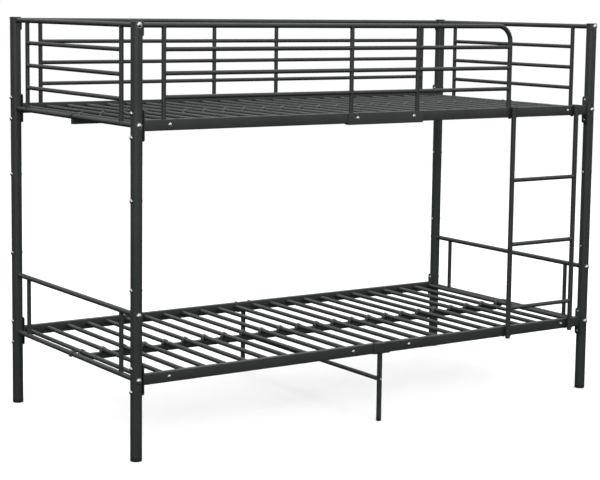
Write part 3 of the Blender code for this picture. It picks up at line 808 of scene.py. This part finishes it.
# ---- fasteners ----------------------------------------------------------------------------------
def dome(radius, height, washer, washer_height, socket, sink):
    """A button head on a washer, with a hex socket. It points along +Z, seated at 0 and sunk a little."""
    profile = [(0, -sink), (washer, -sink), (washer, washer_height - 0.0003),
               (washer - 0.0003, washer_height)]
    if radius < washer:
        profile.append((radius, washer_height))
    for i in range(11):
        angle = math.radians(12 + 70 * i / 10)
        profile.append((radius * math.cos(angle) / math.cos(math.radians(12)),
                        washer_height + height * (math.sin(angle) - math.sin(math.radians(12)))))
    profile.append((0, profile[-1][1]))
    head = lathe(profile, sides=48)
    top = profile[-1][1]
    floor, mouth = top - height * 0.55, top + 0.002
    hexagon = lathe([(0, floor), (socket, floor), (socket, mouth), (0, mouth)], sides=6)
    return welded([head], [hexagon])


def facing(axis):
    """The rotation that turns +Z to an axis."""
    return Vector(axis).to_track_quat("Z", "Y").to_matrix()


def make_fasteners():
    big = smooth_mesh("big_bolt", dome(0.0085, 0.0055, 0.0105, 0.0014, 0.0026, 0.0030), ZINC)
    middling = smooth_mesh("post_bolt", dome(0.0068, 0.0046, 0.0082, 0.0012, 0.0021, 0.0020), ZINC)
    small = smooth_mesh("rail_bolt", dome(0.0062, 0.0034, 0.0070, 0.0008, 0.0019, 0.0005), ZINC)
    tip = smooth_mesh("bolt_tip", dome(0.0034, 0.0024, 0.0052, 0.0016, 0.0012, 0.0003), ZINC)
    screw = smooth_mesh("brace_screw", dome(0.0036, 0.0026, 0.0042, 0.0006, 0.0013, 0.0010), ZINC)

    for corner, sx, sy in CORNERS:
        outward = (0, sy, 0)
        face_y = sy * (POST_Y + POST_RADIUS)
        for i, z in enumerate((TOP_RAIL_Z, DECKS["upper"], LOWER_END_TOP_Z, DECKS["lower"])):
            instance(f"panel_bolt_{corner}_{i + 1}", big, (sx * POST_X, face_y, z), facing(outward))
        outer_x = sx * (POST_X + POST_RADIUS)
        for level, deck in DECKS.items():
            for word, rise in (("high", PLATE_BOLT_RISE), ("low", -PLATE_BOLT_RISE)):
                place = (outer_x, sy * POST_Y, deck + rise)
                instance(f"plate_bolt_{level}_{word}_{corner}", middling, place, facing((sx, 0, 0)))
                inner_x = sx * (PLATE_OUTER_X - PLATE_THICKNESS)
                place = (inner_x, sy * POST_Y, deck + rise)
                instance(f"plate_bolt_tip_{level}_{word}_{corner}", tip, place, facing((-sx, 0, 0)))
        heights = ("high", JOINER_TOP + JOINER_BOLT_ABOVE), ("low", JOINER_BOTTOM - JOINER_BOLT_BELOW)
        for word, z in heights:
            place = (outer_x, sy * POST_Y, z)
            instance(f"joiner_bolt_{word}_{corner}", middling, place, facing((sx, 0, 0)))
            place = (sx * (POST_X - POST_RADIUS), sy * POST_Y, z)
            instance(f"joiner_bolt_tip_{word}_{corner}", tip, place, facing((-sx, 0, 0)))

    for face, sy in SIDES_Y:
        for level, deck in DECKS.items():
            for i, x in enumerate(RAIL_BOLT_X):
                proud = SHEET + CLEAR if level == "upper" and abs(x) < 0.5 else 0
                place = (x, sy * (POST_Y + RAIL_FACE + proud), deck)
                instance(f"rail_bolt_{level}_{face}_{i + 1}", small, place, facing((0, sy, 0)))
        instance(f"brace_screw_{face}", screw, (0, sy * (POST_Y + LEG_RADIUS), BRACE_Z), facing((0, sy, 0)))


# ---- studio -------------------------------------------------------------------------------------
FLOOR_RADIUS = 9.0
ROOM_BELOW, ROOM_SIDES, ROOM_ABOVE = 0.02, 0.52, 1.75
CAMERA_PLACE = (-3.5673, -5.1846, 1.5419)
CAMERA_HEADING = math.radians(34.20)    # from +Y towards +X
CAMERA_PITCH = math.radians(-6.776)
CAMERA_ROLL = 0.01326
CAMERA_LENS = 97.46
CAMERA_SHIFT_Y = -0.075


def make_camera():
    heading, pitch = CAMERA_HEADING, CAMERA_PITCH
    forward = Vector((math.sin(heading) * math.cos(pitch), math.cos(heading) * math.cos(pitch),
                      math.sin(pitch)))
    level_right = Vector((math.cos(heading), -math.sin(heading), 0))
    level_up = level_right.cross(forward)
    right = math.cos(CAMERA_ROLL) * level_right + math.sin(CAMERA_ROLL) * level_up
    up = -math.sin(CAMERA_ROLL) * level_right + math.cos(CAMERA_ROLL) * level_up
    data = bpy.data.cameras.new("camera")
    data.sensor_width = 36
    data.lens = CAMERA_LENS
    data.shift_y = CAMERA_SHIFT_Y
    camera = bpy.data.objects.new("camera", data)
    bpy.context.scene.collection.objects.link(camera)
    turn = Matrix((right, up, -forward)).transposed().to_4x4()
    camera.matrix_world = Matrix.Translation(CAMERA_PLACE) @ turn
    bpy.context.scene.camera = camera


def area_light(name, place, target, size, power):
    data = bpy.data.lights.new(name, "AREA")
    data.shape = "RECTANGLE"
    data.size, data.size_y = size
    data.energy = power
    lamp = bpy.data.objects.new(name, data)
    bpy.context.scene.collection.objects.link(lamp)
    lamp.location = place
    lamp.rotation_euler = (Vector(target) - Vector(place)).to_track_quat("-Z", "Y").to_euler()


def studio_world():
    """White behind the bed; round it a soft room, bright overhead, dimmer at eye level and dark below."""
    world = bpy.data.worlds.new("studio")
    world.use_nodes = True
    tree = world.node_tree
    background = tree.nodes["Background"]
    place = tree.nodes.new("ShaderNodeTexCoord")
    parts = tree.nodes.new("ShaderNodeSeparateXYZ")
    tree.links.new(place.outputs["Generated"], parts.inputs[0])
    height = ramp(tree, parts.outputs["Z"], 0, 1, -1, 1)
    room = tree.nodes.new("ShaderNodeValToRGB")
    stops = room.color_ramp.elements
    stops[0].position, stops[0].color = 0.0, (*[ROOM_BELOW] * 3, 1)
    stops[1].position, stops[1].color = 1.0, (*[ROOM_ABOVE] * 3, 1)
    for position, light in ((0.47, ROOM_BELOW), (0.53, ROOM_SIDES)):
        stops.new(position).color = (light, light, light, 1)
    tree.links.new(height, room.inputs[0])
    rays = tree.nodes.new("ShaderNodeLightPath")
    seen = tree.nodes.new("ShaderNodeMix")
    seen.data_type = "RGBA"
    seen.inputs[7].default_value = (1, 1, 1, 1)
    tree.links.new(rays.outputs["Is Camera Ray"], seen.inputs[0])
    tree.links.new(room.outputs["Color"], seen.inputs[6])
    tree.links.new(seen.outputs[2], background.inputs["Color"])
    background.inputs["Strength"].default_value = 1.0
    return world


def make_studio():
    bm = bmesh.new()
    bmesh.ops.create_circle(bm, cap_ends=True, segments=96, radius=FLOOR_RADIUS)
    mesh = bpy.data.meshes.new("studio_floor")
    bm.to_mesh(mesh)
    bm.free()
    material, tree, shader = shader_of("pale_floor")
    tone = two_tone(tree, noise_node(tree, 0.8, 2.0), (0.91, 0.91, 0.91), (0.94, 0.94, 0.94))
    tree.links.new(tone, shader.inputs["Base Color"])
    shader.inputs["Roughness"].default_value = 0.9
    shader.inputs["Specular IOR Level"].default_value = 0.1
    mesh.materials.append(material)
    floor = bpy.data.objects.new("studio_floor", mesh)
    bpy.context.scene.collection.objects.link(floor)
    floor.visible_diffuse = False
    floor.visible_glossy = False
    bpy.context.scene.world = studio_world()
    bpy.context.scene.view_settings.view_transform = "Standard"
    area_light("overhead", (0, 0, 5.0), (0, 0, 0.5), (5, 4), 70)
    area_light("front_left", (-4.5, -5.5, 3.2), (0, 0, 0.7), (3, 2.5), 150)
    area_light("front_right", (3.5, -5.5, 2.5), (0, 0, 0.7), (2.5, 2.5), 30)


# ---- the bed ------------------------------------------------------------------------------------
make_camera()
make_studio()
make_posts()
make_caps()
for side, sx in SIDES_X:
    make_end_panel("upper", side, sx, DECKS["upper"], TOP_RAIL_Z, 3)
    make_end_panel("lower", side, sx, DECKS["lower"], LOWER_END_TOP_Z, 0)
make_rails()
make_joiners()
make_centre_support()
make_decks()
for face, sy in SIDES_Y:
    make_guard(face, sy)
make_ladder()
make_fasteners()
